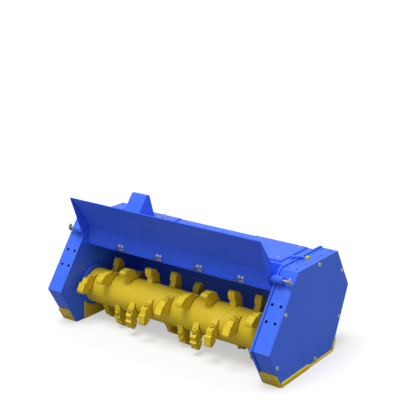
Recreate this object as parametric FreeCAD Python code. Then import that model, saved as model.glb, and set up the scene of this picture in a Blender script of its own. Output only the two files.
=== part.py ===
import FreeCAD, Part
import math
import os

# Brush mulcher head. Millimetres, X along the rotor, front towards -Y, +Z up, skid soles at Z = 0.

# Side outline of the end boxes, seen along X: name, y, z
BOX_CORNERS = (
    ("front_sole", -341.0, 12.0),
    ("front_nose", -494.0, 264.0),
    ("top_front", -190.0, 700.0),
    ("top_rear", 316.0, 700.0),
    ("rear_point", 495.0, 420.0),
    ("rear_sole", 312.0, 12.0),
)
CORNER = {name: (y, z) for name, y, z in BOX_CORNERS}
OUTLINE = [(y, z) for name, y, z in BOX_CORNERS]
BOX_TOP = CORNER["top_rear"][1]

INNER_HALF = 765.0        # centre to the inner face of an inner side plate
BOX_WIDTH = 130.0         # inner face of the inner plate to outer face of the cover
INNER_PLATE = 12.0        # thickness of the inner side plate
COVER_PLATE = 8.0         # thickness of the outer cover plate
BAND_PLATE = 8.0          # thickness of the band round the end box
LIP_PROUD = 10.0          # how far the inner plate stands proud of the band
LIP_RADII = (4.0, 6.0, 45.0, 20.0, 12.0, 4.0)   # rounding of its corners, in the order above

# Cross beam between the inner plates
DECK_DROP = 8.0           # deck below the top of the boxes
DECK_PLATE = 10.0
DECK_FRONT = -106.0
DECK_REAR = 271.0
DECK_EDGE_RADIUS = 14.0   # bend at the deck's front edge
FLOOR_TOP = 560.0         # top of the beam floor and of the fixed hood strip
SKIN = 8.0                # beam front, floor and rear skin
SKIN_BEND = 6.0           # inner radius of the rear skin's bend
REAR_BREAK = (440.0, 430.0)
REAR_FOOT = (300.0, 70.0)

# Hinged flap, drawn closed and then turned open: y, z of its outer line
HINGE_Y = -229.0
HINGE_Z = 572.0
HINGE_EDGE_GAP = 3.0
FLAP_LINE = ((-232.0, 560.0), (-326.0, 525.0), (-399.0, 410.0), (-470.0, 261.0))
FLAP_PLATE = 6.0
FLAP_GAP = 15.0           # from each end of the flap to the inner plate
FLAP_BEND = 10.0
FLAP_OPEN = 116.0         # degrees from closed to the propped position shown
EAR_PLATE = 8.0
EAR_BOSS = 32.0           # radius of the ear round its pin hole
EAR_HOLE = 17.0

# Hinges
HINGE_SHARES = (-0.62, -0.19, 0.245, 0.67)   # places along the half length of the flap
KNUCKLE_RADIUS = 10.0
HINGE_PIN_RADIUS = 5.0
PIN_PROUD = 3.0           # pin past the moving knuckle
KNUCKLE_LENGTH = 38.0
KNUCKLE_GAP = 0.5
LEAF_LENGTH = 42.0
LEAF_PLATE = 5.0
LEAF_BACK = 7.0           # how far the leaf reaches back under its knuckles
HINGE_FIT = 0.05          # radial clearance of the pin in its moving knuckles

# Lock pins and their bosses
PIN_Y = -266.0
PIN_Z = 656.0
PIN_RADIUS = 10.0
HEAD_CLEAR = 0.5          # left between the drawn pin's head and the inner plate
PIN_TRAVEL = 42.0
PIN_SEAT = 0.5            # left between grip and boss when the pin is home
PIN_FIT = 0.05
BOSS_RADIUS = 22.0
BOSS_LENGTH = 58.0
HEAD_RADIUS = 14.0        # centre to the corners of the hexagon head on its inboard end
HEAD = 8.0
HANDLE_LENGTH = 58.0      # flat grip on its outboard end
HANDLE_WIDTH = 26.0
HANDLE_PLATE = 12.0
HANDLE_FLAT = 0.3         # share of its length that keeps the full width
HANDLE_TIP = 5.0          # rounding of its two tips

# Rotor
ROTOR_Y = -159.0
ROTOR_Z = 232.0
DRUM_RADIUS = 123.0
DRUM_GAP = 23.0           # from each end of the drum to the inner plate
DRUM_WALL = 20.0
DRUM_DISC = 25.0          # end disc that carries each journal
JOURNAL_RADIUS = 45.0
JOURNAL_REACH = 47.0      # journal past the inner face of the inner plate
BEARING_FIT = 0.05
FLANGE_RADIUS = 145.0
FLANGE = 18.0
HUB_HALF = 70.0           # half the square opening for the bearing housing behind the flange

# Teeth: three interleaved runs, each a spiral; first angle and step in degrees,
# turned from +Y towards +Z, which is also the way they travel
TOOTH_COUNT = 30
TOOTH_RUNS = ((167.0, -27.7), (44.0, -29.5), (278.0, -27.7))
TOOTH_EDGE = 41.5         # end of the drum to the middle of the first tooth
HOLDER_WIDTH = 43.0
CUTTER_WIDTH = 50.0
# Holder and cutter outlines: lead ahead of the tooth's radius, height over the drum
TAIL_ANGLE = 49.4         # how far behind the tooth its tail meets the drum, degrees
TAIL_SINK = 3.0
HOLDER_LINE = ((-64.0, 36.0), (-62.0, 57.0), (-31.0, 71.0), (10.0, 74.0), (14.0, 37.0), (14.0, -5.0))
CUTTER_LINE = ((-31.0, 71.0), (-31.0, 87.0), (24.0, 104.0), (41.0, 95.0), (41.0, 73.0), (27.0, 40.0),
               (14.0, 37.0), (10.0, 74.0))

# Skids and wear panels
SKID_PLATE = 12.0
SKID_BEND = 2.0           # inner radius of its bends
SKID_WRAP = 100.0         # length of its front end up the bevel
SKID_TAIL = 80.0          # length of its rear end up the rear edge
SKID_CORNER = 18.0        # rounding of its outer corners
RIB = 8.0
RIB_HEIGHT = 24.0
RIB_REAR = -10.0
LINER = 6.0
LINER_FRONT = -272.0
LINER_TOP = 138.0
LINER_CLEAR = 20.0        # from its rear end to the foot of the rear skin

# Deck fittings, with places along X measured in from the inner plates
PLATE = 8.0
PLATE_INSET = 62.0
PLATE_LENGTH = 390.0
PLATE_FRONT = -76.0
PLATE_REAR = 262.0
TOWER_INSET = 187.0       # to the middle of the hose tower
TOWER_HALF = 66.0
TOWER_HEIGHT = 163.0
TOWER_BASE = (-5.0, 205.0)
TOWER_CREST = (116.0, 148.0)
TOWER_CREST_RADIUS = 10.0
TOWER_WALL = 5.0
PORT_INSET = 365.0
PORT_Y = (173.0, 112.0, 34.0)
PORT_RADIUS = 16.0        # centre to the corners of its hexagon
PORT_HEIGHT = 22.0
PORT_BORE = 8.0
PORT_DEPTH = 16.0
MOTOR_SIZE = 116.0        # plain block for the motor shut in the beam
MOTOR_LENGTH = 260.0
MOTOR_Y = 90.0
MOTOR_Z = 622.0

# Hitch bolt holes in the deck
HITCH_HOLE_X = (-225.0, -75.0, 75.0, 225.0)
HITCH_HOLE_Y = (-66.0, 216.0)
HITCH_HOLE_RADIUS = 6.0

# Grease point over the lip. Lobes of its bracket: out from the inner face, y, radius, top they stand on
DECK_TOP = BOX_TOP - DECK_DROP
LUG_LOBES = ((-20.0, 7.0, 15.0, DECK_TOP), (30.0, 37.0, 11.0, BOX_TOP))
LUG_HALF = 8.0
LUG_PLATE = 9.0
CAP_OUT = 53.0
CAP_Y = 57.0
CAP_RADIUS = 14.0         # centre to the corners of its hexagon
CAP_HEIGHT = 14.0

V = FreeCAD.Vector
OUTER_HALF = INNER_HALF + BOX_WIDTH
PLATE_OUT = INNER_HALF + INNER_PLATE      # outer face of the inner plate
FLAP_HALF = INNER_HALF - FLAP_GAP
DRUM_HALF = INNER_HALF - DRUM_GAP


def rounded_wire(points, x):
    """Closed wire in the plane X = x from (y, z, radius) corners."""
    count = len(points)
    starts, ends, mids = [], [], []
    for i in range(count):
        a = V(0, *points[i - 1][:2])
        b = V(0, *points[i][:2])
        c = V(0, *points[(i + 1) % count][:2])
        radius = points[i][2]
        to_a = (a - b).normalize()
        to_c = (c - b).normalize()
        half = to_a.getAngle(to_c) / 2
        if radius < 1e-6 or abs(half - math.pi / 2) < 1e-4:
            starts.append(b)
            ends.append(b)
            mids.append(None)
            continue
        reach = radius / math.tan(half)
        centre = b + (to_a + to_c).normalize() * (radius / math.sin(half))
        starts.append(b + to_a * reach)
        ends.append(b + to_c * reach)
        mids.append(centre + (b - centre).normalize() * radius)
    shift = V(x, 0, 0)
    edges = []
    for i in range(count):
        if mids[i] is not None:
            edges.append(Part.Arc(starts[i] + shift, mids[i] + shift, ends[i] + shift).toShape())
        tip = starts[(i + 1) % count]
        if (tip - ends[i]).Length > 1e-6:
            edges.append(Part.LineSegment(ends[i] + shift, tip + shift).toShape())
    return Part.Wire(edges)


def prism(points, x0, x1):
    """Solid between two X planes from (y, z) or (y, z, radius) corners."""
    low = min(x0, x1)
    corners = [(p[0], p[1], p[2] if len(p) > 2 else 0.0) for p in points]
    return Part.Face(rounded_wire(corners, low)).extrude(V(abs(x1 - x0), 0, 0))


def offset_line(points, distance, closed):
    """Points moved to the right of their direction of travel, with mitred corners."""
    count = len(points)
    moved = []
    for i in range(count):
        normals = []
        for j, k in ((i - 1, i), (i, i + 1)):
            if not closed and (j < 0 or k >= count):
                continue
            ay, az = points[j % count]
            by, bz = points[k % count]
            length = math.hypot(by - ay, bz - az)
            normals.append(((bz - az) / length, -(by - ay) / length))
        ny = sum(n[0] for n in normals) / len(normals)
        nz = sum(n[1] for n in normals) / len(normals)
        scale = distance / (ny * ny + nz * nz)
        moved.append((points[i][0] + ny * scale, points[i][1] + nz * scale))
    return moved


def bent_plate(line, thickness, inner_radius, x0, x1):
    """Plate bent along a line of (y, z) points, thickened to the right of travel."""
    other = offset_line(line, thickness, False)
    corners = []
    for side, points in ((1, line), (-1, other)):
        for i, (y, z) in enumerate(points):
            radius = 0.0
            if 0 < i < len(points) - 1:
                ay, az = points[i - 1]
                by, bz = points[i + 1]
                turn = (y - ay) * (bz - z) - (z - az) * (by - y)
                inside = (turn < 0) == (side < 0)
                radius = inner_radius if inside else inner_radius + thickness
            corners.append((y, z, radius))
        if side == 1:
            first = corners
            corners = []
    return prism(first + corners[::-1], x0, x1)


def rod_x(x0, x1, radius, y, z):
    low = min(x0, x1)
    return Part.makeCylinder(radius, abs(x1 - x0), V(low, y, z), V(1, 0, 0))


def rod_z(x, y, z0, z1, radius):
    return Part.makeCylinder(radius, z1 - z0, V(x, y, z0), V(0, 0, 1))


def block(x0, x1, y0, y1, z0, z1):
    return Part.makeBox(abs(x1 - x0), y1 - y0, z1 - z0, V(min(x0, x1), y0, z0))


def along(a, b, share):
    return tuple(p + (q - p) * share for p, q in zip(a, b))


def pair(build, name, parts):
    """Left and right pieces, the left one built and the right one its mirror image."""
    left = build()
    parts[name + "_left"] = left
    parts[name + "_right"] = left.mirror(V(0, 0, 0), V(1, 0, 0))


def slope(a, b):
    """Unit vector from a to b, and the unit vector to its right, both as (y, z)."""
    length = math.dist(a, b)
    run = ((b[0] - a[0]) / length, (b[1] - a[1]) / length)
    return run, (run[1], -run[0])


def shifted(point, *moves):
    """Point (y, z) moved by each (direction, distance) in turn."""
    y, z = point
    for direction, distance in moves:
        y += direction[0] * distance
        z += direction[1] * distance
    return (y, z)


def lip_outline():
    """Inner plate: the box outline grown by the lip on every edge."""
    return [(*p, r) for p, r in zip(offset_line(OUTLINE, -LIP_PROUD, True), LIP_RADII)]


def boss_profile():
    """Pin boss: a round eye on a foot that stands on the box's front face."""
    top = CORNER["top_front"]
    down, inward = slope(CORNER["front_nose"], top)
    down = (-down[0], -down[1])
    foot = (PIN_Y - top[0]) * down[0] + (PIN_Z - top[1]) * down[1]
    base = shifted(top, (down, foot))
    out = math.dist(base, (PIN_Y, PIN_Z)) + BOSS_RADIUS
    eye = BOSS_RADIUS - 0.5
    corners = []
    for across, height, radius in ((1, 0, 0), (1, out, eye), (-1, out, eye), (-1, 0, 0)):
        corners.append((*shifted(base, (down, BOSS_RADIUS * across), (inward, -height)), radius))
    return corners


def pin_bore(x0, x1):
    return rod_x(x0, x1, PIN_RADIUS + PIN_FIT, PIN_Y, PIN_Z)


def inner_plate():
    plate = prism(lip_outline(), -INNER_HALF, -PLATE_OUT)
    plate = plate.fuse(prism(boss_profile(), -INNER_HALF, -PLATE_OUT)).removeSplitter()
    plate = plate.cut(block(-INNER_HALF, -PLATE_OUT, ROTOR_Y - HUB_HALF, ROTOR_Y + HUB_HALF,
                            ROTOR_Z - HUB_HALF, ROTOR_Z + HUB_HALF))
    return plate.cut(pin_bore(-INNER_HALF, -PLATE_OUT))


def end_band():
    """Band of the end box: top, front, bevel, sole and rear strips in one ring."""
    inside = offset_line(OUTLINE, BAND_PLATE, True)
    x1 = -OUTER_HALF + COVER_PLATE
    return prism(OUTLINE, -PLATE_OUT, x1).cut(prism(inside, -PLATE_OUT, x1))


def cover():
    return prism(OUTLINE, -OUTER_HALF + COVER_PLATE, -OUTER_HALF)


def pin_boss():
    x1 = -PLATE_OUT - BOSS_LENGTH
    return prism(boss_profile(), -PLATE_OUT, x1).cut(pin_bore(-PLATE_OUT, x1))


def lock_pin():
    """Drawn lock pin: hexagon head inboard, flat tapered grip outboard of the boss."""
    head = -INNER_HALF + HEAD_CLEAR
    grip = -PLATE_OUT - BOSS_LENGTH - PIN_TRAVEL - PIN_SEAT
    pin = rod_x(head + HEAD, grip, PIN_RADIUS, PIN_Y, PIN_Z)
    turns = [math.radians(60 * k) for k in range(6)]
    corners = [(PIN_Y + HEAD_RADIUS * math.cos(t), PIN_Z + HEAD_RADIUS * math.sin(t)) for t in turns]
    pin = pin.fuse(prism(corners, head, head + HEAD))
    half, wide = HANDLE_LENGTH / 2, HANDLE_WIDTH / 2
    flat = half * HANDLE_FLAT
    lozenge = [(0, half, HANDLE_TIP), (wide, flat, 0), (wide, -flat, 0), (0, -half, HANDLE_TIP),
               (-wide, -flat, 0), (-wide, flat, 0)]
    outline = [(PIN_Y + y, PIN_Z + z, radius) for y, z, radius in lozenge]
    return pin.fuse(prism(outline, grip, grip - HANDLE_PLATE))


def bearing_flange():
    """Turned bearing ring on the inside of the inner plate."""
    end = -INNER_HALF + FLANGE
    ring = rod_x(-INNER_HALF, end, FLANGE_RADIUS, ROTOR_Y, ROTOR_Z)
    return ring.cut(rod_x(-INNER_HALF, end, JOURNAL_RADIUS + BEARING_FIT, ROTOR_Y, ROTOR_Z))


def skid():
    """Flat bar under the box, turned up over the bevel and at the rear, with an edge rib."""
    front, nose = CORNER["front_sole"], CORNER["front_nose"]
    rear, point = CORNER["rear_sole"], CORNER["rear_point"]
    up = along(front, nose, SKID_WRAP / math.dist(front, nose))
    tail = along(rear, point, SKID_TAIL / math.dist(rear, point))
    bar = bent_plate([tail, rear, front, up], -SKID_PLATE, SKID_BEND, -PLATE_OUT, -OUTER_HALF)
    ends = [e for e in bar.Edges if corner_edge(e, up) or corner_edge(e, tail)]
    bar = bar.makeFillet(SKID_CORNER, ends)
    rib = block(-OUTER_HALF, -OUTER_HALF - RIB, front[0], RIB_REAR, 0.0, RIB_HEIGHT)
    return bar.fuse(rib).removeSplitter()


def corner_edge(edge, end):
    """Whether an edge runs through the bar's thickness at its outer corner by end."""
    middle = edge.CenterOfMass
    near = math.dist((middle.y, middle.z), end) < SKID_PLATE
    return near and abs(middle.x + OUTER_HALF) < 0.1 and abs(edge.Length - SKID_PLATE) < 0.1


def wear_panel():
    panel = block(-INNER_HALF, -INNER_HALF + LINER, LINER_FRONT, REAR_FOOT[0] - LINER_CLEAR,
                  CORNER["front_sole"][1] - LIP_PROUD, LINER_TOP)
    clear = rod_x(-INNER_HALF, -INNER_HALF + LINER, FLANGE_RADIUS + 1.0, ROTOR_Y, ROTOR_Z)
    return panel.cut(clear)


def beam(parts):
    """Cross beam: deck with its bent front, floor with the hood strip, rear skin."""
    half = INNER_HALF
    front = [(DECK_REAR, DECK_TOP), (DECK_FRONT, DECK_TOP), (DECK_FRONT, FLOOR_TOP)]
    deck = bent_plate(front, -DECK_PLATE, DECK_EDGE_RADIUS - DECK_PLATE, -half, half)
    drills = []
    for x in HITCH_HOLE_X:
        for y in HITCH_HOLE_Y:
            drills.append(rod_z(x, y, DECK_TOP - DECK_PLATE, DECK_TOP, HITCH_HOLE_RADIUS))
    parts["beam_deck"] = deck.cut(drills)
    fall = DECK_TOP - REAR_BREAK[1]
    top_rear = (DECK_REAR, DECK_TOP)
    meet = along(top_rear, REAR_BREAK, (DECK_TOP - FLOOR_TOP) / fall)
    under = along(top_rear, REAR_BREAK, (DECK_TOP - FLOOR_TOP + SKIN) / fall)
    inset = SKIN / math.sin(math.atan2(fall, REAR_BREAK[0] - DECK_REAR))
    edge = HINGE_Y + HINGE_EDGE_GAP
    floor = [(edge, FLOOR_TOP), (meet[0] - inset, FLOOR_TOP), (under[0] - inset, FLOOR_TOP - SKIN),
             (edge, FLOOR_TOP - SKIN)]
    parts["hood_strip"] = prism(floor, -half, half)
    line = [top_rear, REAR_BREAK, REAR_FOOT]
    parts["rear_skin"] = bent_plate(line, SKIN, SKIN_BEND, -half, half).cut(deck)


def turned(shape, degrees):
    """Copy of a closed-flap shape turned about the hinge axis."""
    copy = shape.copy()
    copy.rotate(V(0, HINGE_Y, HINGE_Z), V(1, 0, 0), -degrees)
    return copy


def closed_point(y, z):
    """Where a point of the open flap lies when the flap is closed."""
    angle = math.radians(FLAP_OPEN)
    dy, dz = y - HINGE_Y, z - HINGE_Z
    return (HINGE_Y + dy * math.cos(angle) - dz * math.sin(angle),
            HINGE_Z + dy * math.sin(angle) + dz * math.cos(angle))


def flap_skin():
    return bent_plate(list(FLAP_LINE), -FLAP_PLATE, FLAP_BEND, -FLAP_HALF, FLAP_HALF)


def flap_ear():
    """End gusset inside the flap, widest at the pin eye and tapering to the free edge."""
    inside = offset_line(list(FLAP_LINE), -FLAP_PLATE, False)
    eye = closed_point(PIN_Y, PIN_Z)
    line, side = slope(eye, inside[3])
    low = shifted(eye, (side, -EAR_BOSS))
    back = shifted(low, (line, -EAR_BOSS))
    corners = [(*along(inside[0], inside[1], 0.12), 0.0), (*inside[1], FLAP_BEND), (*inside[2], FLAP_BEND),
               (*inside[3], 0.0), (*low, 0.0), (*back, EAR_BOSS * 0.6)]
    ear = prism(corners, -FLAP_HALF, -FLAP_HALF + EAR_PLATE)
    return ear.cut(rod_x(-FLAP_HALF, -FLAP_HALF + EAR_PLATE, EAR_HOLE, *eye))


def hinge(x):
    """One hinge: knuckle and pin fixed to the hood strip, and a leaf with its own knuckle."""
    end = x + KNUCKLE_LENGTH + KNUCKLE_GAP / 2
    start = x + KNUCKLE_GAP / 2
    fixed = rod_x(x - KNUCKLE_GAP / 2 - KNUCKLE_LENGTH, x - KNUCKLE_GAP / 2, KNUCKLE_RADIUS, HINGE_Y, HINGE_Z)
    foot = block(x - KNUCKLE_GAP / 2 - KNUCKLE_LENGTH, x - KNUCKLE_GAP / 2, HINGE_Y + HINGE_EDGE_GAP,
                 HINGE_Y + KNUCKLE_RADIUS, FLOOR_TOP, HINGE_Z)
    pin = rod_x(x - KNUCKLE_GAP, end + PIN_PROUD, HINGE_PIN_RADIUS, HINGE_Y, HINGE_Z)
    fixed = fixed.fuse([foot, pin]).removeSplitter()
    run, _ = slope(FLAP_LINE[0], FLAP_LINE[1])
    back = shifted(FLAP_LINE[0], (run, -LEAF_BACK))
    tip = shifted(back, (run, LEAF_LENGTH))
    leaf = bent_plate([back, tip], LEAF_PLATE, 1.0, start, end)
    leaf = leaf.fuse(rod_x(start, end, KNUCKLE_RADIUS, HINGE_Y, HINGE_Z))
    leaf = leaf.cut(rod_x(start, end, HINGE_PIN_RADIUS + HINGE_FIT, HINGE_Y, HINGE_Z))
    return fixed, leaf


def hinges(parts):
    made = [hinge(share * FLAP_HALF) for share in HINGE_SHARES]
    parts["hinge_knuckles"] = Part.makeCompound([fixed for fixed, leaf in made])
    parts["hinge_leaves"] = turned(Part.makeCompound([leaf for fixed, leaf in made]), FLAP_OPEN)


def tooth(line, width, x, angle):
    """Prism of a tooth outline given as (lead, height over the drum), turned to its angle."""
    points = [(ROTOR_Y - lead, ROTOR_Z + DRUM_RADIUS + height) for lead, height in line]
    piece = prism(points, x - width / 2, x + width / 2)
    piece.rotate(V(0, ROTOR_Y, ROTOR_Z), V(1, 0, 0), angle - 90)
    return piece


def rotor(parts):
    """Drum with journals, welded tooth holders and bolted cutters along it."""
    drum = rod_x(-DRUM_HALF, DRUM_HALF, DRUM_RADIUS, ROTOR_Y, ROTOR_Z)
    inner = DRUM_HALF - DRUM_DISC
    drum = drum.cut(rod_x(-inner, inner, DRUM_RADIUS - DRUM_WALL, ROTOR_Y, ROTOR_Z))
    journal_end = INNER_HALF + JOURNAL_REACH
    journals = [rod_x(side * inner, side * journal_end, JOURNAL_RADIUS, ROTOR_Y, ROTOR_Z) for side in (-1, 1)]
    tail_angle = math.radians(TAIL_ANGLE)
    reach = DRUM_RADIUS - TAIL_SINK
    tail = (-reach * math.sin(tail_angle), reach * math.cos(tail_angle) - DRUM_RADIUS)
    pitch = 2 * (DRUM_HALF - TOOTH_EDGE) / (TOOTH_COUNT - 1)
    holders, cutters = [], []
    for i in range(TOOTH_COUNT):
        first, step = TOOTH_RUNS[i % len(TOOTH_RUNS)]
        place = (-DRUM_HALF + TOOTH_EDGE + i * pitch, first + step * (i // len(TOOTH_RUNS)))
        holders.append(tooth((tail,) + HOLDER_LINE, HOLDER_WIDTH, *place))
        cutters.append(tooth(CUTTER_LINE, CUTTER_WIDTH, *place))
    parts["rotor_drum"] = drum.fuse(journals + holders)
    parts["rotor_cutters"] = Part.makeCompound(cutters)


def deck_fittings(parts):
    """Cover plates either side, hose tower, three port adapters and the motor in the beam."""
    top = DECK_TOP + PLATE
    for name, side in (("motor_cover", -1), ("service_cover", 1)):
        outer = side * (INNER_HALF - PLATE_INSET)
        inner = side * (INNER_HALF - PLATE_INSET - PLATE_LENGTH)
        parts[name] = block(inner, outer, PLATE_FRONT, PLATE_REAR, DECK_TOP, top)
    middle = -INNER_HALF + TOWER_INSET
    crest = top + TOWER_HEIGHT
    outer = [(TOWER_BASE[0], top), (TOWER_BASE[1], top), (TOWER_CREST[1], crest, TOWER_CREST_RADIUS),
             (TOWER_CREST[0], crest, TOWER_CREST_RADIUS)]
    inner = [(TOWER_BASE[0] + 2 * TOWER_WALL, top), (TOWER_BASE[1] - TOWER_WALL, top),
             (TOWER_CREST[1] - TOWER_WALL, crest - TOWER_WALL),
             (TOWER_CREST[0] + TOWER_WALL, crest - TOWER_WALL)]
    shell = prism(outer, middle - TOWER_HALF, middle + TOWER_HALF)
    hollow = prism(inner, middle - TOWER_HALF + TOWER_WALL, middle + TOWER_HALF - TOWER_WALL)
    parts["hose_tower"] = shell.cut(hollow)
    x = -INNER_HALF + PORT_INSET
    parts["port_fittings"] = Part.makeCompound([port(x, y, top) for y in PORT_Y])
    half = MOTOR_SIZE / 2
    parts["hydraulic_motor"] = block(-INNER_HALF, -INNER_HALF + MOTOR_LENGTH, MOTOR_Y - half, MOTOR_Y + half,
                                     MOTOR_Z - half, MOTOR_Z + half)


def hexagon(x, y, z, radius, height):
    """Upright six-sided prism, radius to its corners."""
    corners = []
    for k in range(7):
        turn = math.radians(60 * k)
        corners.append(V(x + radius * math.cos(turn), y + radius * math.sin(turn), z))
    return Part.Face(Part.makePolygon(corners)).extrude(V(0, 0, height))


def port(x, y, z):
    """Hexagonal adapter with a blind bore from the top."""
    bore = rod_z(x, y, z + PORT_HEIGHT - PORT_DEPTH, z + PORT_HEIGHT, PORT_BORE)
    return hexagon(x, y, z, PORT_RADIUS, PORT_HEIGHT).cut(bore)


def grease_bracket():
    """Bar that bridges the lip, with a round foot on the deck and one on the box top."""
    low = BOX_TOP + LIP_PROUD
    high = low + LUG_PLATE
    feet = [rod_z(-INNER_HALF - out, y, stand, high, radius) for out, y, radius, stand in LUG_LOBES]
    (out_a, y_a, _, _), (out_b, y_b, _, _) = LUG_LOBES
    length = math.dist((out_a, y_a), (out_b, y_b))
    bar = Part.makeBox(length, 2 * LUG_HALF, LUG_PLATE, V(-INNER_HALF - out_a, y_a - LUG_HALF, low))
    heading = math.degrees(math.atan2(y_b - y_a, out_a - out_b))
    bar.rotate(V(-INNER_HALF - out_a, y_a, low), V(0, 0, 1), heading)
    return bar.fuse(feet).removeSplitter()


def grease_cap():
    return hexagon(-INNER_HALF - CAP_OUT, CAP_Y, BOX_TOP, CAP_RADIUS, CAP_HEIGHT)


def build():
    parts = {}
    beam(parts)
    pair(inner_plate, "inner_plate", parts)
    pair(end_band, "end_band", parts)
    pair(cover, "end_cover", parts)
    pair(pin_boss, "pin_boss", parts)
    pair(lock_pin, "lock_pin", parts)
    pair(bearing_flange, "bearing_flange", parts)
    pair(skid, "skid", parts)
    pair(wear_panel, "wear_panel", parts)
    pair(grease_bracket, "grease_bracket", parts)
    pair(grease_cap, "grease_cap", parts)
    deck_fittings(parts)
    parts["flap_skin"] = turned(flap_skin(), FLAP_OPEN)
    pair(lambda: turned(flap_ear(), FLAP_OPEN), "flap_ear", parts)
    hinges(parts)
    rotor(parts)
    return parts


if __name__ == "__main__":
    os.makedirs("parts", exist_ok=True)
    for name, shape in build().items():
        shape.exportStep("parts/" + name + ".step")
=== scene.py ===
import bmesh
import bpy
import math
from mathutils import Matrix, Vector


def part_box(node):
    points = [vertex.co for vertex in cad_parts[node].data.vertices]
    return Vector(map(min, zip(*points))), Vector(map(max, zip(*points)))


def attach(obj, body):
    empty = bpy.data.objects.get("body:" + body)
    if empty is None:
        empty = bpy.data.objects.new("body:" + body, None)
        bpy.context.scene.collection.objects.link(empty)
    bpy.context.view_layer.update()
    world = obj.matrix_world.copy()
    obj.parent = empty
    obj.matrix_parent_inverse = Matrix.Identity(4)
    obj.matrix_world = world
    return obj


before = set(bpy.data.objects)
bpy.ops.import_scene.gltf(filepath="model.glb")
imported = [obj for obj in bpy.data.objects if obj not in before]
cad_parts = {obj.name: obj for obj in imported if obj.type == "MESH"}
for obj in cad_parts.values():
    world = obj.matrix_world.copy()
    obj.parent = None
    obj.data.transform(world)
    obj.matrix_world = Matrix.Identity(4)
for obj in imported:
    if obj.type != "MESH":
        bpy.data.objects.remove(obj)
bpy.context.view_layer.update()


# View
# The photograph looks down on the head from its front right corner, from the height of a loft.
# Place, aim and lens follow from matching the box corners, flap and bolts, in metres and image pixels.
PHOTO_PIXELS = 400
FOCAL_PIXELS = 958.5
SENSOR = 36.0
camera_data = bpy.data.cameras.new("camera")
camera_data.sensor_width = SENSOR
camera_data.lens = FOCAL_PIXELS / PHOTO_PIXELS * SENSOR
camera = bpy.data.objects.new("camera", camera_data)
bpy.context.scene.collection.objects.link(camera)
camera_place = Vector((3.5315, -4.9470, 2.6881))
camera_aim = Vector((0.1983, -0.2377, 1.0387))
camera_roll = 0.0157
sight = (camera_aim - camera_place).normalized()
camera.matrix_world = (Matrix.Translation(camera_place)
                       @ sight.to_track_quat("-Z", "Y").to_matrix().to_4x4()
                       @ Matrix.Rotation(camera_roll, 4, "Z"))
bpy.context.scene.camera = camera


# Welded housing
# Laser-cut and folded steel plate, welded, blasted and sprayed with blue machine enamel. The
# enamel pulls thin on cut edges, lies in a faint orange peel and dulls where dust settles.
def linear(hex_colour):
    """sRGB hex colour as linear RGBA."""
    channels = [int(hex_colour[i:i + 2], 16) / 255 for i in (1, 3, 5)]
    return (*[c / 12.92 if c <= 0.04045 else ((c + 0.055) / 1.055) ** 2.4 for c in channels], 1.0)


def add_node(tree, kind, inputs=None, **settings):
    """Add a node, apply its settings, and link or set each named input."""
    node = tree.nodes.new(kind)
    for name, value in settings.items():
        setattr(node, name, value)
    for name, value in (inputs or {}).items():
        if isinstance(value, bpy.types.NodeSocket):
            tree.links.new(value, node.inputs[name])
        else:
            node.inputs[name].default_value = value
    return node


def per_millimetre(size):
    """Texture scale in object metres for features of this size in millimetres."""
    return 1000.0 / size


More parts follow.
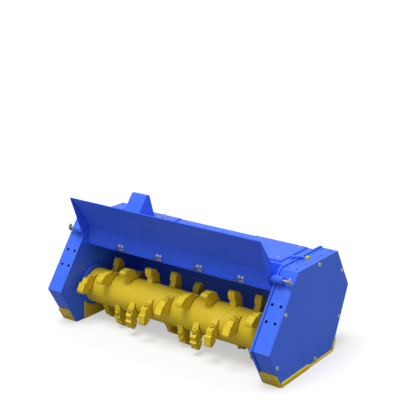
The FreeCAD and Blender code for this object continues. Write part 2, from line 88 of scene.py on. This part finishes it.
def enamel(name, full, thin, under, wear, gloss, corner_shade_amount=0.45):
    """Sprayed machine enamel: full and thin coats, the colour on worn edges, how worn and rough, and how much
    painted shade darkens inner corners.
    """
    material = bpy.data.materials.new(name)
    material.use_nodes = True
    tree = material.node_tree
    shader = tree.nodes["Principled BSDF"]
    shader.inputs["Specular IOR Level"].default_value = 0.3
    place = add_node(tree, "ShaderNodeTexCoord").outputs["Object"]
    surface = add_node(tree, "ShaderNodeNewGeometry")
    # Spray passes overlap every 200 mm or so and leave the coat a little fuller there
    passes = add_node(tree, "ShaderNodeTexNoise", {"Vector": place, "Scale": per_millimetre(200),
                                                   "Detail": 2.0})
    coat = add_node(tree, "ShaderNodeMix", {"Factor": passes.outputs["Fac"], "A": linear(full),
                                            "B": linear(thin)}, data_type="RGBA")
    # Edges: the softened normal leaves the flat one within 2 mm of an arris
    soft = add_node(tree, "ShaderNodeBevel", {"Radius": 0.0022}, samples=4)
    agree = add_node(tree, "ShaderNodeVectorMath", {0: soft.outputs["Normal"], 1: surface.outputs["Normal"]},
                     operation="DOT_PRODUCT")
    edge = add_node(tree, "ShaderNodeMapRange", {"Value": agree.outputs["Value"], "From Min": 0.995,
                                                 "From Max": 0.90, "To Min": 0.0, "To Max": 1.0})
    # Knocks are 3 to 8 mm long, so the chips break up along the edge at that size
    knocks = add_node(tree, "ShaderNodeTexNoise", {"Vector": place, "Scale": per_millimetre(7), "Detail": 3.0,
                                                   "Roughness": 0.6})
    chips = add_node(tree, "ShaderNodeMapRange", {"Value": knocks.outputs["Fac"], "From Min": 0.66 - wear,
                                                  "From Max": 0.74 - wear})
    # Edge mask: real chips, and on the blue coats also a painted highlight along the edges
    edge_wear_and_highlight_mask = add_node(tree, "ShaderNodeMath", {0: edge.outputs["Result"], 1: chips.outputs["Result"]},
                    operation="MULTIPLY")
    colour = add_node(tree, "ShaderNodeMix", {"Factor": edge_wear_and_highlight_mask.outputs["Value"], "A": coat.outputs["Result"],
                                              "B": linear(under)}, data_type="RGBA")
    # Settled dust, only on faces that look up, in patches a hand wide
    facing = add_node(tree, "ShaderNodeSeparateXYZ", {"Vector": surface.outputs["Normal"]})
    patches = add_node(tree, "ShaderNodeTexNoise", {"Vector": place, "Scale": per_millimetre(90),
                                                    "Detail": 5.0})
    settled = add_node(tree, "ShaderNodeMapRange", {"Value": patches.outputs["Fac"], "From Min": 0.45,
                                                    "From Max": 0.8, "To Max": 0.08})
    upward = add_node(tree, "ShaderNodeMath", {0: facing.outputs["Z"], 1: settled.outputs["Result"]},
                      operation="MULTIPLY", use_clamp=True)
    dusty = add_node(tree, "ShaderNodeMix", {"Factor": upward.outputs["Value"], "A": colour.outputs["Result"],
                                             "B": linear("#B9B4A6")}, data_type="RGBA")
    # Painted shade darkens inner corners, within 10 mm of the joint
    # Painted shade: occlusion within 10 mm multiplies the colour toward a dark grey
    corner_occlusion = add_node(tree, "ShaderNodeAmbientOcclusion", {"Distance": 0.010}, samples=6)
    corner_shade_mask = add_node(tree, "ShaderNodeMapRange", {"Value": corner_occlusion.outputs["AO"], "From Min": 0.45,
                                                  "From Max": 0.90, "To Min": corner_shade_amount, "To Max": 0.0})
    corner_shaded_colour = add_node(tree, "ShaderNodeMix", {"Factor": corner_shade_mask.outputs["Result"], "A": dusty.outputs["Result"],
                                             "B": linear("#6A665C")}, data_type="RGBA", blend_type="MULTIPLY")
    tree.links.new(corner_shaded_colour.outputs["Result"], shader.inputs["Base Color"])
    # Gloss wanders in patches of 60 mm; the masked edges are duller
    smears = add_node(tree, "ShaderNodeTexNoise", {"Vector": place, "Scale": per_millimetre(60),
                                                   "Detail": 4.0})
    sheen = add_node(tree, "ShaderNodeMapRange", {"Value": smears.outputs["Fac"], "To Min": gloss - 0.05,
                                                  "To Max": gloss + 0.08})
    dull = add_node(tree, "ShaderNodeMath", {0: edge_wear_and_highlight_mask.outputs["Value"], 1: 0.25, 2: sheen.outputs["Result"]},
                    operation="MULTIPLY_ADD")
    tree.links.new(dull.outputs["Value"], shader.inputs["Roughness"])
    # Orange peel of real enamel has 1 to 2 mm cells; drawn at 5 mm so that it shows at this distance
    peel = add_node(tree, "ShaderNodeTexNoise", {"Vector": place, "Scale": per_millimetre(5), "Detail": 1.0})
    relief = add_node(tree, "ShaderNodeBump", {"Height": peel.outputs["Fac"], "Distance": 0.0002,
                                               "Strength": 0.35, "Normal": soft.outputs["Normal"]})
    tree.links.new(relief.outputs["Normal"], shader.inputs["Normal"])
    return material


def dress(material, *starts):
    """Put a material on the frame's nodes whose names start so."""
    for name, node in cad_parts.items():
        if name.startswith(starts):
            for slot in node.material_slots:
                slot.material = material


# Glossy two-coat polyurethane enamel, with paler blue on edges, partly where rubbed through to the primer and
# partly as a painted highlight
blue_enamel = enamel("blue_machine_enamel", full="#3A6CF6", thin="#4478FF", under="#8CA8F4", wear=0.02,
                     gloss=0.34)
dress(blue_enamel, "beam", "hood", "rear_skin", "inner", "end_", "pin_boss", "bearing", "grease_bracket",
      "motor_cover", "service_cover", "hose_tower")


# Flap
# Folded from 6 mm plate with a gusset at each end. Its coat is less worn and less polished than the
# housing's, and its blue is made deeper as painted shade; the paler blue on its edges is partly wear, partly
# painted highlight.
flap_enamel_deepened_as_painted_shade = enamel("flap_enamel_deepened_as_painted_shade", full="#3060FA", thin="#3A6CFF", under="#8CA8F4", wear=0.0,
                          gloss=0.52)
dress(flap_enamel_deepened_as_painted_shade, "flap")


# Skids, wear panels and rotor
# Sprayed signal yellow over blasted steel. The soles and the tooth holders lose their paint first,
# so this coat is thinner and more chipped than the housing's, and less painted shade darkens its inner
# corners.
yellow_enamel = enamel("yellow_machine_enamel", full="#E6C61C", thin="#F0D436", under="#8C8052", wear=0.06,
                       gloss=0.40, corner_shade_amount=0.10)
dress(yellow_enamel, "skid", "wear_panel", "rotor", "grease_cap")


# Hinges, lock pins and port adapters
# Turned and pressed steel, zinc plated. Plating leaves an even satin metal with faint cloudy patches
# and fine turning marks, and on the hinges and pins, in the dust of the rotor, it has gone grey.
def plated_steel(name, bright, dull_tone, roughness):
    """Zinc plate over turned steel."""
    material = bpy.data.materials.new(name)
    material.use_nodes = True
    tree = material.node_tree
    shader = tree.nodes["Principled BSDF"]
    shader.inputs["Metallic"].default_value = 1.0
    place = add_node(tree, "ShaderNodeTexCoord").outputs["Object"]
    clouds = add_node(tree, "ShaderNodeTexNoise", {"Vector": place, "Scale": per_millimetre(12),
                                                   "Detail": 4.0})
    tone = add_node(tree, "ShaderNodeMix", {"Factor": clouds.outputs["Fac"], "A": linear(bright),
                                            "B": linear(dull_tone)}, data_type="RGBA")
    tree.links.new(tone.outputs["Result"], shader.inputs["Base Color"])
    sheen = add_node(tree, "ShaderNodeMapRange", {"Value": clouds.outputs["Fac"], "To Min": roughness - 0.08,
                                                  "To Max": roughness + 0.12})
    tree.links.new(sheen.outputs["Result"], shader.inputs["Roughness"])
    # Turning marks are 0.2 mm apart; drawn at 1 mm so that they show
    marks = add_node(tree, "ShaderNodeTexNoise", {"Vector": place, "Scale": per_millimetre(1), "Detail": 1.0})
    soft = add_node(tree, "ShaderNodeBevel", {"Radius": 0.001}, samples=4)
    relief = add_node(tree, "ShaderNodeBump", {"Height": marks.outputs["Fac"], "Distance": 0.00005,
                                               "Strength": 0.3, "Normal": soft.outputs["Normal"]})
    tree.links.new(relief.outputs["Normal"], shader.inputs["Normal"])
    return material


# Clear zinc keeps its silver on screws and ports; the weathered one is greyer and duller
zinc_plate = plated_steel("clear_zinc_plate", bright="#ECEDEE", dull_tone="#CFD1D3", roughness=0.42)
weathered_zinc = plated_steel("weathered_zinc_plate", bright="#BFC2C8", dull_tone="#9A9EA5", roughness=0.48)
dress(zinc_plate, "port")
dress(weathered_zinc, "hinge", "lock_pin")
# The knuckles are darkened, as painted shade for their place in shadow under the flap's edge
shaded_knuckle_zinc = plated_steel("greasy_zinc_plate", bright="#7C8089", dull_tone="#5E626A", roughness=0.50)
dress(shaded_knuckle_zinc, "hinge_knuckle")


# Hydraulic motor
# Cast-iron gear motor in black paint, shut in the beam under the motor cover. Only its coat is
# given here, since nothing of it shows.
black_enamel = enamel("black_motor_enamel", full="#1C1D20", thin="#26282B", under="#4A4A48", wear=0.0,
                      gloss=0.45)
dress(black_enamel, "hydraulic_motor")


# End cover screws
# Six M16 hexagon screws with washers hold each end cover to the box, one near the middle of each
# edge. Their heads are of the thin kind, forged and zinc plated.
BOX_CORNERS = (  # y, z in metres, round from the front sole
    (-0.341, 0.012), (-0.494, 0.264), (-0.190, 0.700), (0.316, 0.700), (0.495, 0.420), (0.312, 0.012))
COVER_SCREW_SHARE = (0.50, 0.50, 0.52, 0.50, 0.50, 0.36)   # how far along each edge
COVER_SCREW_INWARD = 0.024                                 # from the edge
COVER_SCREW, COVER_SCREW_RISE = 0.0150, 0.34               # washer radius, head's rise as a share of it


def lathe(bm, profile, steps, place, ring=False):
    """Add a solid turned from (radius, height) rings; six steps make a hexagon, ring=True leaves a bore."""
    rings = []
    for radius, height in profile:
        turns = [2 * math.pi * k / steps for k in range(steps)]
        rings.append([bm.verts.new(place @ Vector((radius * math.cos(t), radius * math.sin(t), height)))
                      for t in turns])
    for low, high in zip(rings, rings[1:] + rings[:1] if ring else rings[1:]):
        for k in range(steps):
            after = (k + 1) % steps
            bm.faces.new((low[k], low[after], high[after], high[k]))
    if not ring:
        bm.faces.new(rings[0][::-1])
        bm.faces.new(rings[-1])


def stand(point, direction):
    """Matrix that sets local +Z along direction at point."""
    return Matrix.Translation(Vector(point)) @ Vector(direction).to_track_quat("Z", "Y").to_matrix().to_4x4()


def hex_screw(bm, point, direction, size, rise=0.64):
    """Washer of this radius in metres, and a chamfered hexagon head that rises this share of it."""
    place = stand(point, direction)
    washer = 0.16 * size                     # thickness
    lathe(bm, ((1.0 * size, 0.0), (1.02 * size, washer * 0.3), (1.0 * size, washer)), 28, place)
    head = rise * size
    across = 0.87 * size                     # radius over the corners
    lathe(bm, ((across, washer), (across, washer + head * 0.85), (across * 0.86, washer + head)), 6, place)
    lathe(bm, ((across * 0.80, washer + head), (across * 0.74, washer + head * 1.05)), 24, place)


def piece(name, bm, material, body, smooth=40):
    """Turn built faces into an object that rides on a body."""
    bmesh.ops.recalc_face_normals(bm, faces=bm.faces)
    mesh = bpy.data.meshes.new(name)
    bm.to_mesh(mesh)
    bm.free()
    mesh.materials.append(material)
    mesh.polygons.foreach_set("use_smooth", [True] * len(mesh.polygons))
    mesh.set_sharp_from_angle(angle=math.radians(smooth))
    made = bpy.data.objects.new(name, mesh)
    bpy.context.scene.collection.objects.link(made)
    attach(made, body)
    return made


def between(a, b, share):
    """Point at this share of the way from a to b."""
    return tuple(p + (q - p) * share for p, q in zip(a, b))


for side, name in ((-1, "left"), (1, "right")):
    bm = bmesh.new()
    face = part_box("end_cover_" + name)[side > 0][0]
    for k, share in enumerate(COVER_SCREW_SHARE):
        a, b = BOX_CORNERS[k], BOX_CORNERS[(k + 1) % len(BOX_CORNERS)]
        run = (Vector(b) - Vector(a)).normalized()
        y, z = Vector(between(a, b, share)) + Vector((run.y, -run.x)) * COVER_SCREW_INWARD
        hex_screw(bm, (face, y, z), (side, 0, 0), COVER_SCREW, COVER_SCREW_RISE)
    piece("cover_screws_" + name, bm, zinc_plate, "housing")


# Threaded holes in the end boxes
# Drilled and tapped for bolt-on guards: two rows of four in each top, and four in each front face.
# They are drawn as shallow dark discs, painted shade for the holes' depth, with a trace of oil.
hole_shadow = bpy.data.materials.new("tapped_hole_painted_shade")
hole_shadow.use_nodes = True
tree = hole_shadow.node_tree
shader = tree.nodes["Principled BSDF"]
place = add_node(tree, "ShaderNodeTexCoord").outputs["Object"]
oil = add_node(tree, "ShaderNodeTexNoise", {"Vector": place, "Scale": per_millimetre(3)})
tint = add_node(tree, "ShaderNodeMix", {"Factor": oil.outputs["Fac"], "A": linear("#02040A"),
                                        "B": linear("#060C1C")}, data_type="RGBA")
tree.links.new(tint.outputs["Result"], shader.inputs["Base Color"])
shader.inputs["Roughness"].default_value = 0.9
shader.inputs["Specular IOR Level"].default_value = 0.05
FRONT_HOLE_SHARE = (0.43, 0.635)            # down the front face
TOP_HOLE_Y = (0.280, 0.168, -0.034, -0.148)
HOLE_OUT = (0.035, 0.095)                   # from the inner face of the inner plate
FRONT_HOLE, TOP_HOLE = 0.0095, 0.0065       # radii
HOLE_MARK = ((1.0, -0.002), (1.0, 0.0003), (0.9, 0.0004))   # radius as a share, height
inner_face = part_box("inner_plate_right")[0][0]
nose, brow = BOX_CORNERS[1], BOX_CORNERS[2]
slope = (Vector(brow) - Vector(nose)).normalized()
outward = Vector((0, -slope.y, slope.x))
for side, name in ((-1, "left"), (1, "right")):
    holes = bmesh.new()
    for out in HOLE_OUT:
        x = side * (inner_face + out)
        for share in FRONT_HOLE_SHARE:
            seat = stand((x, *between(brow, nose, share)), outward)
            lathe(holes, [(FRONT_HOLE * r, h) for r, h in HOLE_MARK], 24, seat)
        for y in TOP_HOLE_Y:
            seat = stand((x, y, brow[1]), (0, 0, 1))
            lathe(holes, [(TOP_HOLE * r, h) for r, h in HOLE_MARK], 20, seat)
    piece("box_holes_" + name, holes, hole_shadow, "housing")


# Skid screws
# One hexagon screw holds the turned-up front of each skid to the bevel of its box.
SKID_SCREW = 0.012                          # radius of the washer
SKID_SCREW_UP = 0.058                       # along the bevel from the sole's front
SKID_SCREW_OUT = 0.071                      # from the inner face of the inner plate
SKID_PLATE = 0.012
bevel = (Vector(nose) - Vector(BOX_CORNERS[0])).normalized()
under = Vector((0, -bevel.y, bevel.x))
for side, name in ((-1, "left"), (1, "right")):
    bm = bmesh.new()
    y, z = Vector(BOX_CORNERS[0]) + bevel * SKID_SCREW_UP
    seat = Vector((side * (inner_face + SKID_SCREW_OUT), y, z)) + under * SKID_PLATE
    hex_screw(bm, seat, under, SKID_SCREW)
    piece("skid_screw_" + name, bm, zinc_plate, "housing")


# Skid edges
# The rib beside the front of each sole carries a flat fillet weld on top. Behind it a bevelled steel
# strip, welded to the sole's edge, runs back and up the rear. Both are painted a lighter yellow, as painted
# light.
RIB_OUT, RIB_TOP, RIB_REAR = 0.008, 0.024, -0.010
STRIP_OUT, STRIP_BEVEL = 0.005, 0.005
STRIP_BELOW, STRIP_ABOVE = 0.0115, 0.0055    # from the cover's edge
TAIL_UP = 0.080
sole_front, sole_rear, rear_point = Vector(BOX_CORNERS[0]), Vector(BOX_CORNERS[5]), Vector(BOX_CORNERS[4])
rear_run = (rear_point - sole_rear).normalized()
mitre = Vector((-rear_run.y, rear_run.x + 1)) / (1 + rear_run.x)
inwards = (Vector((0, 1)), mitre, Vector((-rear_run.y, rear_run.x)))
strip_line = (Vector((RIB_REAR, sole_rear.y)), sole_rear, sole_rear + rear_run * TAIL_UP)


def sweep(bm, line, rises, profile, face, side):
    """Join copies of a profile of (out, rise) points, set square to the end box along a line."""
    rings = [[bm.verts.new((side * (face + out), *(point + inward * rise))) for out, rise in profile]
             for point, inward in zip(line, rises)]
    count = len(profile)
    for a, b in zip(rings, rings[1:]):
        for k in range(count):
            bm.faces.new((a[k], a[(k + 1) % count], b[(k + 1) % count], b[k]))
    bm.faces.new(rings[0][::-1])
    bm.faces.new(rings[-1])


# The same signal yellow painted lighter, as painted light, polished by grass and soil, with no painted shade
# in its corners
skid_edge_enamel_painted_light = enamel("yellow_enamel_painted_lighter_on_skid_edge", full="#FFDC28", thin="#FFE442", under="#B8A860", wear=0.04,
                     gloss=0.45, corner_shade_amount=0.0)
for side, name in ((-1, "left"), (1, "right")):
    bm = bmesh.new()
    face = abs(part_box("end_cover_" + name)[side > 0][0])
    strip = ((0, -STRIP_BELOW), (STRIP_OUT, -STRIP_BELOW), (STRIP_OUT, STRIP_ABOVE - STRIP_BEVEL),
             (0, STRIP_ABOVE))
    sweep(bm, strip_line, inwards, strip, face, side)
    weld = ((0, 0), (RIB_OUT, 0), (0, RIB_OUT))
    sweep(bm, [Vector((y, RIB_TOP)) for y in (sole_front.x, RIB_REAR)], inwards[:1] * 2, weld, face, side)
    piece("skid_edge_" + name, bm, skid_edge_enamel_painted_light, "housing")


# Cover plate screws
# The motor cover and the service cover are each held by hexagon screws at their corners, so that
# the belt side and the motor can be reached from above.
PLATE_SCREW = 0.010                          # radius of the washer
PLATE_SCREWS = ((0.365, -0.034), (0.662, -0.034), (0.365, 0.236), (0.662, 0.236))
bm = bmesh.new()
plate_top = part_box("motor_cover")[1][2]
for x, y in PLATE_SCREWS:
    for side in (-1, 1):
        hex_screw(bm, (side * x, y, plate_top), (0, 0, 1), PLATE_SCREW)
piece("plate_screws", bm, zinc_plate, "housing")


# Port collars
# Each hexagon adapter has a turned collar at its foot and a turned neck on top, bored through,
# that the hose coupling snaps over.
bm = bmesh.new()
low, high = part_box("port_fittings")
PORT_Y = (0.173, 0.112, 0.034)
PORT_BORE = 0.008
COLLAR = ((0.021, 0.0), (0.021, 0.0025), (0.0195, 0.003))   # radius, height
NECK = ((PORT_BORE, 0.0), (0.0125, 0.0), (0.0125, 0.006), (0.0112, 0.0075), (0.0112, 0.0095),
        (0.0125, 0.011), (0.0120, 0.013), (PORT_BORE, 0.013))
port_x = (low[0] + high[0]) / 2
for y in PORT_Y:
    lathe(bm, COLLAR, 32, stand((port_x, y, plate_top), (0, 0, 1)))
    lathe(bm, NECK, 32, stand((port_x, y, high[2]), (0, 0, 1)), ring=True)
piece("port_collars", bm, zinc_plate, "housing")


# Welds of the housing
# Fillet beads of 5 mm along the joints that show: the tower on its plate, the deck and the rear
# skin on the inner plates. Ripples lie a few millimetres apart, under the blue enamel.
BEAD = 0.0035
RIPPLE = 0.006
DECK_ROUND = 0.014                           # bend at the deck's front edge
BEAD_START = 0.004                           # above the lower edge of the deck's bent front


def bead(bm, path, radius):
    """Run a rippled weld bead along a path of points."""
    points = []
    for a, b in zip(path, path[1:]):
        steps = max(1, round((b - a).length / RIPPLE))
        points += [a.lerp(b, k / steps) for k in range(steps)]
    points.append(path[-1])
    rings = []
    for k, point in enumerate(points):
        ahead = points[min(k + 1, len(points) - 1)] - points[max(k - 1, 0)]
        place = stand(point, ahead)
        # A ripple every third step, and a slower wander of the hand that led the torch
        swell = radius * (1 + 0.14 * math.sin(2.1 * k) + 0.06 * math.sin(0.7 * k))
        rings.append([bm.verts.new(place @ Vector((swell * math.cos(t), swell * math.sin(t), 0)))
                      for t in [math.pi * c / 3 for c in range(6)]])
    for low_ring, high_ring in zip(rings, rings[1:]):
        for k in range(6):
            after = (k + 1) % 6
            bm.faces.new((low_ring[k], low_ring[after], high_ring[after], high_ring[k]))
    bm.faces.new(rings[0][::-1])
    bm.faces.new(rings[-1])


bm = bmesh.new()
low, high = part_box("hose_tower")
foot = [Vector((x, y, low[2])) for x, y in ((low[0], low[1]), (high[0], low[1]), (high[0], high[1]),
                                            (low[0], high[1]), (low[0], low[1]))]
bead(bm, foot, BEAD)
deck_low, deck_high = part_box("beam_deck")
REAR_BREAK = Vector((0.440, 0.430))
REAR_FOOT = Vector((0.300, 0.070))
for side in (-1, 1):
    x = side * inner_face
    brink = Vector((x, deck_high[1], deck_high[2]))
    bead(bm, [Vector((x, deck_low[1] + DECK_ROUND, deck_high[2])), brink], BEAD)
    bead(bm, [Vector((x, deck_low[1], deck_low[2] + BEAD_START)),
              Vector((x, deck_low[1], deck_high[2] - DECK_ROUND))], BEAD)
    bead(bm, [brink, Vector((x, *REAR_BREAK)), Vector((x, *REAR_FOOT))], BEAD)
piece("housing_welds", bm, blue_enamel, "housing", smooth=60)


# Grease caps and pin screws
# A yellow cap closes the grease nipple on each box. A hexagon screw through each grip holds it to
# the end of its lock pin.
DOME = ((0.0112, 0.0), (0.0112, 0.0025), (0.0085, 0.0055), (0.0040, 0.0068))   # radius, height
PIN_SCREW = 0.008                            # radius of the washer
for side, name in ((-1, "left"), (1, "right")):
    low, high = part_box("grease_cap_" + name)
    bm = bmesh.new()
    middle = ((low[0] + high[0]) / 2, (low[1] + high[1]) / 2, high[2])
    lathe(bm, DOME, 28, stand(middle, (0, 0, 1)))
    piece("grease_dome_" + name, bm, yellow_enamel, "housing")
    low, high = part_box("lock_pin_" + name)
    bm = bmesh.new()
    grip = (high[0] if side > 0 else low[0], (low[1] + high[1]) / 2, (low[2] + high[2]) / 2)
    hex_screw(bm, grip, (side, 0, 0), PIN_SCREW)
    piece("pin_screw_" + name, bm, zinc_plate, "pin_" + name)


# Tooth bolts and holder welds
# One stud with an M16 nut pulls each cutter onto its holder from behind, on a washer on the ramp.
# Each holder is welded to the drum down both flanks. The beads and a thin ring round each washer are
# painted dark brown, as painted shade where the holders and nuts meet drum and ramp; the studs are dark brown
# too.
flange_low, flange_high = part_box("bearing_flange_left")
rotor_axis = Vector((0, (flange_low[1] + flange_high[1]) / 2, (flange_low[2] + flange_high[2]) / 2))
DRUM_RADIUS = 0.123
DRUM_GAP = 0.023                             # from the inner plate to the drum's end
DRUM_END = inner_face - DRUM_GAP
TOOTH_COUNT = 30
TOOTH_RUNS = ((167.0, -27.7), (44.0, -29.5), (278.0, -27.7))   # first angle and step in degrees
TOOTH_EDGE = 0.0415
HOLDER_HALF = 0.0215
TAIL_ANGLE = 49.4                            # degrees behind the tooth's radius
RAMP_TOP = Vector((-0.064, 0.036))           # lead ahead of the radius, height over the drum
RAMP_FOOT = Vector((-0.0911, -0.0449))
HOLDER_FRONT = 0.014                         # lead of the holder's front face
HOLDER_BEAD = 0.0030
BOLT_DOWN = 0.020                            # from the top of the ramp
NUT = 0.0165                                 # radius of the washer under it
SHADE_RING_RADIUS, SHADE_RING_THICK = 0.0200, 0.0004       # outer radius of the painted shade ring round a washer, and its thickness
STUD, STUD_HIGH = 0.0062, 0.0150             # radius, and height over the ramp
STUD_CHAMFER = 0.0008
BEAD_FROM_TAIL = 5.0                         # degrees from the tail's tip to the end of the bead
BEAD_PARTS = 10                              # straight parts that follow the drum


def on_tooth(x, angle, lead, height):
    """Point of a tooth, lead ahead of its radius and height over the drum."""
    turn = math.radians(angle - 90)
    y, z = -lead, DRUM_RADIUS + height
    c, s = math.cos(turn), math.sin(turn)
    return rotor_axis + Vector((x, y * c - z * s, y * s + z * c))


bolts, welds, shade_rings = bmesh.new(), bmesh.new(), bmesh.new()
pitch = 2 * (DRUM_END - TOOTH_EDGE) / (TOOTH_COUNT - 1)
ramp = (RAMP_TOP - RAMP_FOOT).normalized()
back = Vector((-ramp.y, ramp.x))
seat = RAMP_TOP - ramp * BOLT_DOWN
front_angle = math.degrees(math.asin(HOLDER_FRONT / DRUM_RADIUS))
span = TAIL_ANGLE - BEAD_FROM_TAIL + front_angle
for i in range(TOOTH_COUNT):
    first, step = TOOTH_RUNS[i % len(TOOTH_RUNS)]
    x = -DRUM_END + TOOTH_EDGE + i * pitch
    angle = first + step * (i // len(TOOTH_RUNS))
    point = on_tooth(x, angle, *seat)
    away = on_tooth(x, angle, *(seat + back)) - point
    hex_screw(bolts, point, away, NUT)
    lathe(shade_rings, ((SHADE_RING_RADIUS, 0.0), (SHADE_RING_RADIUS, SHADE_RING_THICK)), 28, stand(point, away))
    stud = ((STUD, 0.0), (STUD, STUD_HIGH), (STUD * 0.8, STUD_HIGH + STUD_CHAMFER))
    lathe(shade_rings, stud, 16, stand(point, away))
    for flank in (-HOLDER_HALF, HOLDER_HALF):
        arc = [angle + front_angle - span * k / BEAD_PARTS for k in range(BEAD_PARTS + 1)]
        bead(welds, [on_tooth(x + flank, a, 0, 0) for a in arc], HOLDER_BEAD)
piece("tooth_bolts", bolts, yellow_enamel, "rotor")
# Yellow enamel darkened to brown, as painted shade along the holder flanks and round the washers
darkened_bead_as_painted_shade = enamel("yellow_enamel_over_rusty_bead", full="#8A6E14", thin="#6E5614", under="#4A3A1C",
                    wear=0.10, gloss=0.6)
piece("holder_welds", welds, darkened_bead_as_painted_shade, "rotor", smooth=60)
piece("studs_and_shade_rings", shade_rings, darkened_bead_as_painted_shade, "rotor")


# Hinge screws
# Two screws go through each hinge leaf and the flap, with their heads outside on the leaf and
# their nuts on the inside of the flap, where they show when it is propped open.
hinge_line = Vector((-0.229, 0.572))
FLAP_LINE = [Vector(p) for p in ((-0.232, 0.560), (-0.326, 0.525), (-0.399, 0.410), (-0.470, 0.261))]
FLAP_PLATE = 0.006
LEAF_PLATE = 0.005
HINGE_SHARES = (-0.62, -0.19, 0.245, 0.67)   # along the half length of the flap
LEAF_MIDDLE = 0.0193                         # from the hinge's middle to the leaf's middle
SCREW_ALONG = 0.020                          # down the first panel of the flap
SCREW_APART = 0.0125
LEAF_SCREW, LEAF_NUT = 0.0065, 0.0102        # radii of the washers
FLAP_OPEN = 116                              # degrees from closed
open_turn = math.radians(FLAP_OPEN)
flap_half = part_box("flap_skin")[1][0]


def opened(point):
    """Flap point in y, z, turned from closed to open."""
    arm = Vector(point) - hinge_line
    c, s = math.cos(-open_turn), math.sin(-open_turn)
    return hinge_line + Vector((arm.x * c - arm.y * s, arm.x * s + arm.y * c))


first_panel = (FLAP_LINE[1] - FLAP_LINE[0]).normalized()
inward = Vector((-first_panel.y, first_panel.x))
heads, nuts = bmesh.new(), bmesh.new()
for share in HINGE_SHARES:
    for apart in (-SCREW_APART, SCREW_APART):
        x = share * flap_half + LEAF_MIDDLE + apart
        line = FLAP_LINE[0] + first_panel * SCREW_ALONG
        outside, inside = opened(line - inward * LEAF_PLATE), opened(line + inward * FLAP_PLATE)
        away = (outside - inside).normalized()
        hex_screw(heads, (x, *outside), (0, *away), LEAF_SCREW)
        hex_screw(nuts, (x, *inside), (0, *-away), LEAF_NUT)
piece("hinge_screw_heads", heads, weathered_zinc, "flap")
piece("hinge_screw_nuts", nuts, zinc_plate, "flap")


# Flap stripes
# Fourteen bars of yellow film or stencil paint across the outside of the flap's last panel, from
# thin at the left to long at the right.
STRIPE_BARS = (  # left end and width along the flap, in metres
    (-0.720, 0.005), (-0.690, 0.006), (-0.659, 0.009), (-0.645, 0.014), (-0.618, 0.012), (-0.601, 0.017),
    (-0.579, 0.038), (-0.534, 0.034), (-0.495, 0.031), (-0.457, 0.070), (-0.377, 0.122), (-0.244, 0.207),
    (-0.026, 0.253), (0.239, 0.285))
STRIPE_HEIGHT = 0.044
STRIPE_FROM_EDGE = 0.031
FILM = 0.0004
free, bend = opened(FLAP_LINE[3]), opened(FLAP_LINE[2])
up = (bend - free).normalized()
out = Vector((-up.y, up.x))
bm = bmesh.new()
for start, width in STRIPE_BARS:
    end = start + width
    corners = []
    for x, rise in ((start, 0.0), (end, 0.0), (end, STRIPE_HEIGHT), (start, STRIPE_HEIGHT)):
        corners.append(bm.verts.new((x, *(free + up * (STRIPE_FROM_EDGE + rise) + out * FILM))))
    bm.faces.new(corners)
# Bright yellow film, unworn
yellow_film = enamel("yellow_stripe_paint", full="#FFE033", thin="#FFE84D", under="#3D6FEE", wear=-0.1,
                     gloss=0.4)
piece("flap_stripes", bm, yellow_film, "flap")


# Floor and light
# A plain white studio floor under a wide soft light from high in front, with an even fill from all
# round, so that level faces are brightest and the ends and undersides stay deeper.
floor_bm = bmesh.new()
FLOOR_HALF = 60.0
bmesh.ops.create_grid(floor_bm, x_segments=1, y_segments=1, size=FLOOR_HALF)
floor_mesh = bpy.data.meshes.new("floor")
floor_bm.to_mesh(floor_mesh)
floor_bm.free()
floor = bpy.data.objects.new("floor", floor_mesh)
bpy.context.scene.collection.objects.link(floor)
floor_paint = bpy.data.materials.new("white_floor")
floor_paint.use_nodes = True
tree = floor_paint.node_tree
tree.nodes.clear()
# Seen straight the floor is white and keeps a pale shadow; as a source of bounced light it is mid grey
path = add_node(tree, "ShaderNodeLightPath")
seen = path.outputs["Is Camera Ray"]
tone = add_node(tree, "ShaderNodeMix", {"Factor": seen, "A": linear("#929292"), "B": linear("#FBFBFB")},
                data_type="RGBA")
matt = add_node(tree, "ShaderNodeBsdfDiffuse", {"Color": tone.outputs["Result"]})
glow = add_node(tree, "ShaderNodeEmission", {"Color": linear("#FFFFFF"), "Strength": 1.0})
share = add_node(tree, "ShaderNodeMath", {0: seen, 1: 0.5}, operation="MULTIPLY")
both = add_node(tree, "ShaderNodeMixShader", {0: share.outputs["Value"], 1: matt.outputs["BSDF"],
                                              2: glow.outputs["Emission"]})
add_node(tree, "ShaderNodeOutputMaterial", {"Surface": both.outputs["Shader"]})
floor_mesh.materials.append(floor_paint)

world = bpy.data.worlds.new("studio")
bpy.context.scene.world = world
world.use_nodes = True
tree = world.node_tree
tree.nodes.clear()
path = add_node(tree, "ShaderNodeLightPath")
seen = add_node(tree, "ShaderNodeMath", {0: path.outputs["Is Camera Ray"],
                                         1: path.outputs["Is Transmission Ray"]}, operation="MAXIMUM")
fill = add_node(tree, "ShaderNodeBackground", {"Color": linear("#FFFFFF"), "Strength": 0.56})
white = add_node(tree, "ShaderNodeBackground", {"Color": linear("#FFFFFF"), "Strength": 1.0})
both = add_node(tree, "ShaderNodeMixShader", {0: seen.outputs["Value"], 1: fill.outputs["Background"],
                                              2: white.outputs["Background"]})
add_node(tree, "ShaderNodeOutputWorld", {"Surface": both.outputs["Shader"]})

KEY_ANGLE = 30                               # degrees of sky that the light fills
KEY_WAY = Vector((0.05, 0.32, -0.95))
key = bpy.data.lights.new("key", "SUN")
key.energy = 2.05
key.angle = math.radians(KEY_ANGLE)
key_holder = bpy.data.objects.new("key", key)
key_holder.rotation_mode = "QUATERNION"
key_holder.rotation_quaternion = KEY_WAY.to_track_quat("-Z", "Y")
bpy.context.scene.collection.objects.link(key_holder)

bpy.context.scene.view_settings.view_transform = "Standard"

bpy.context.view_layer.update()
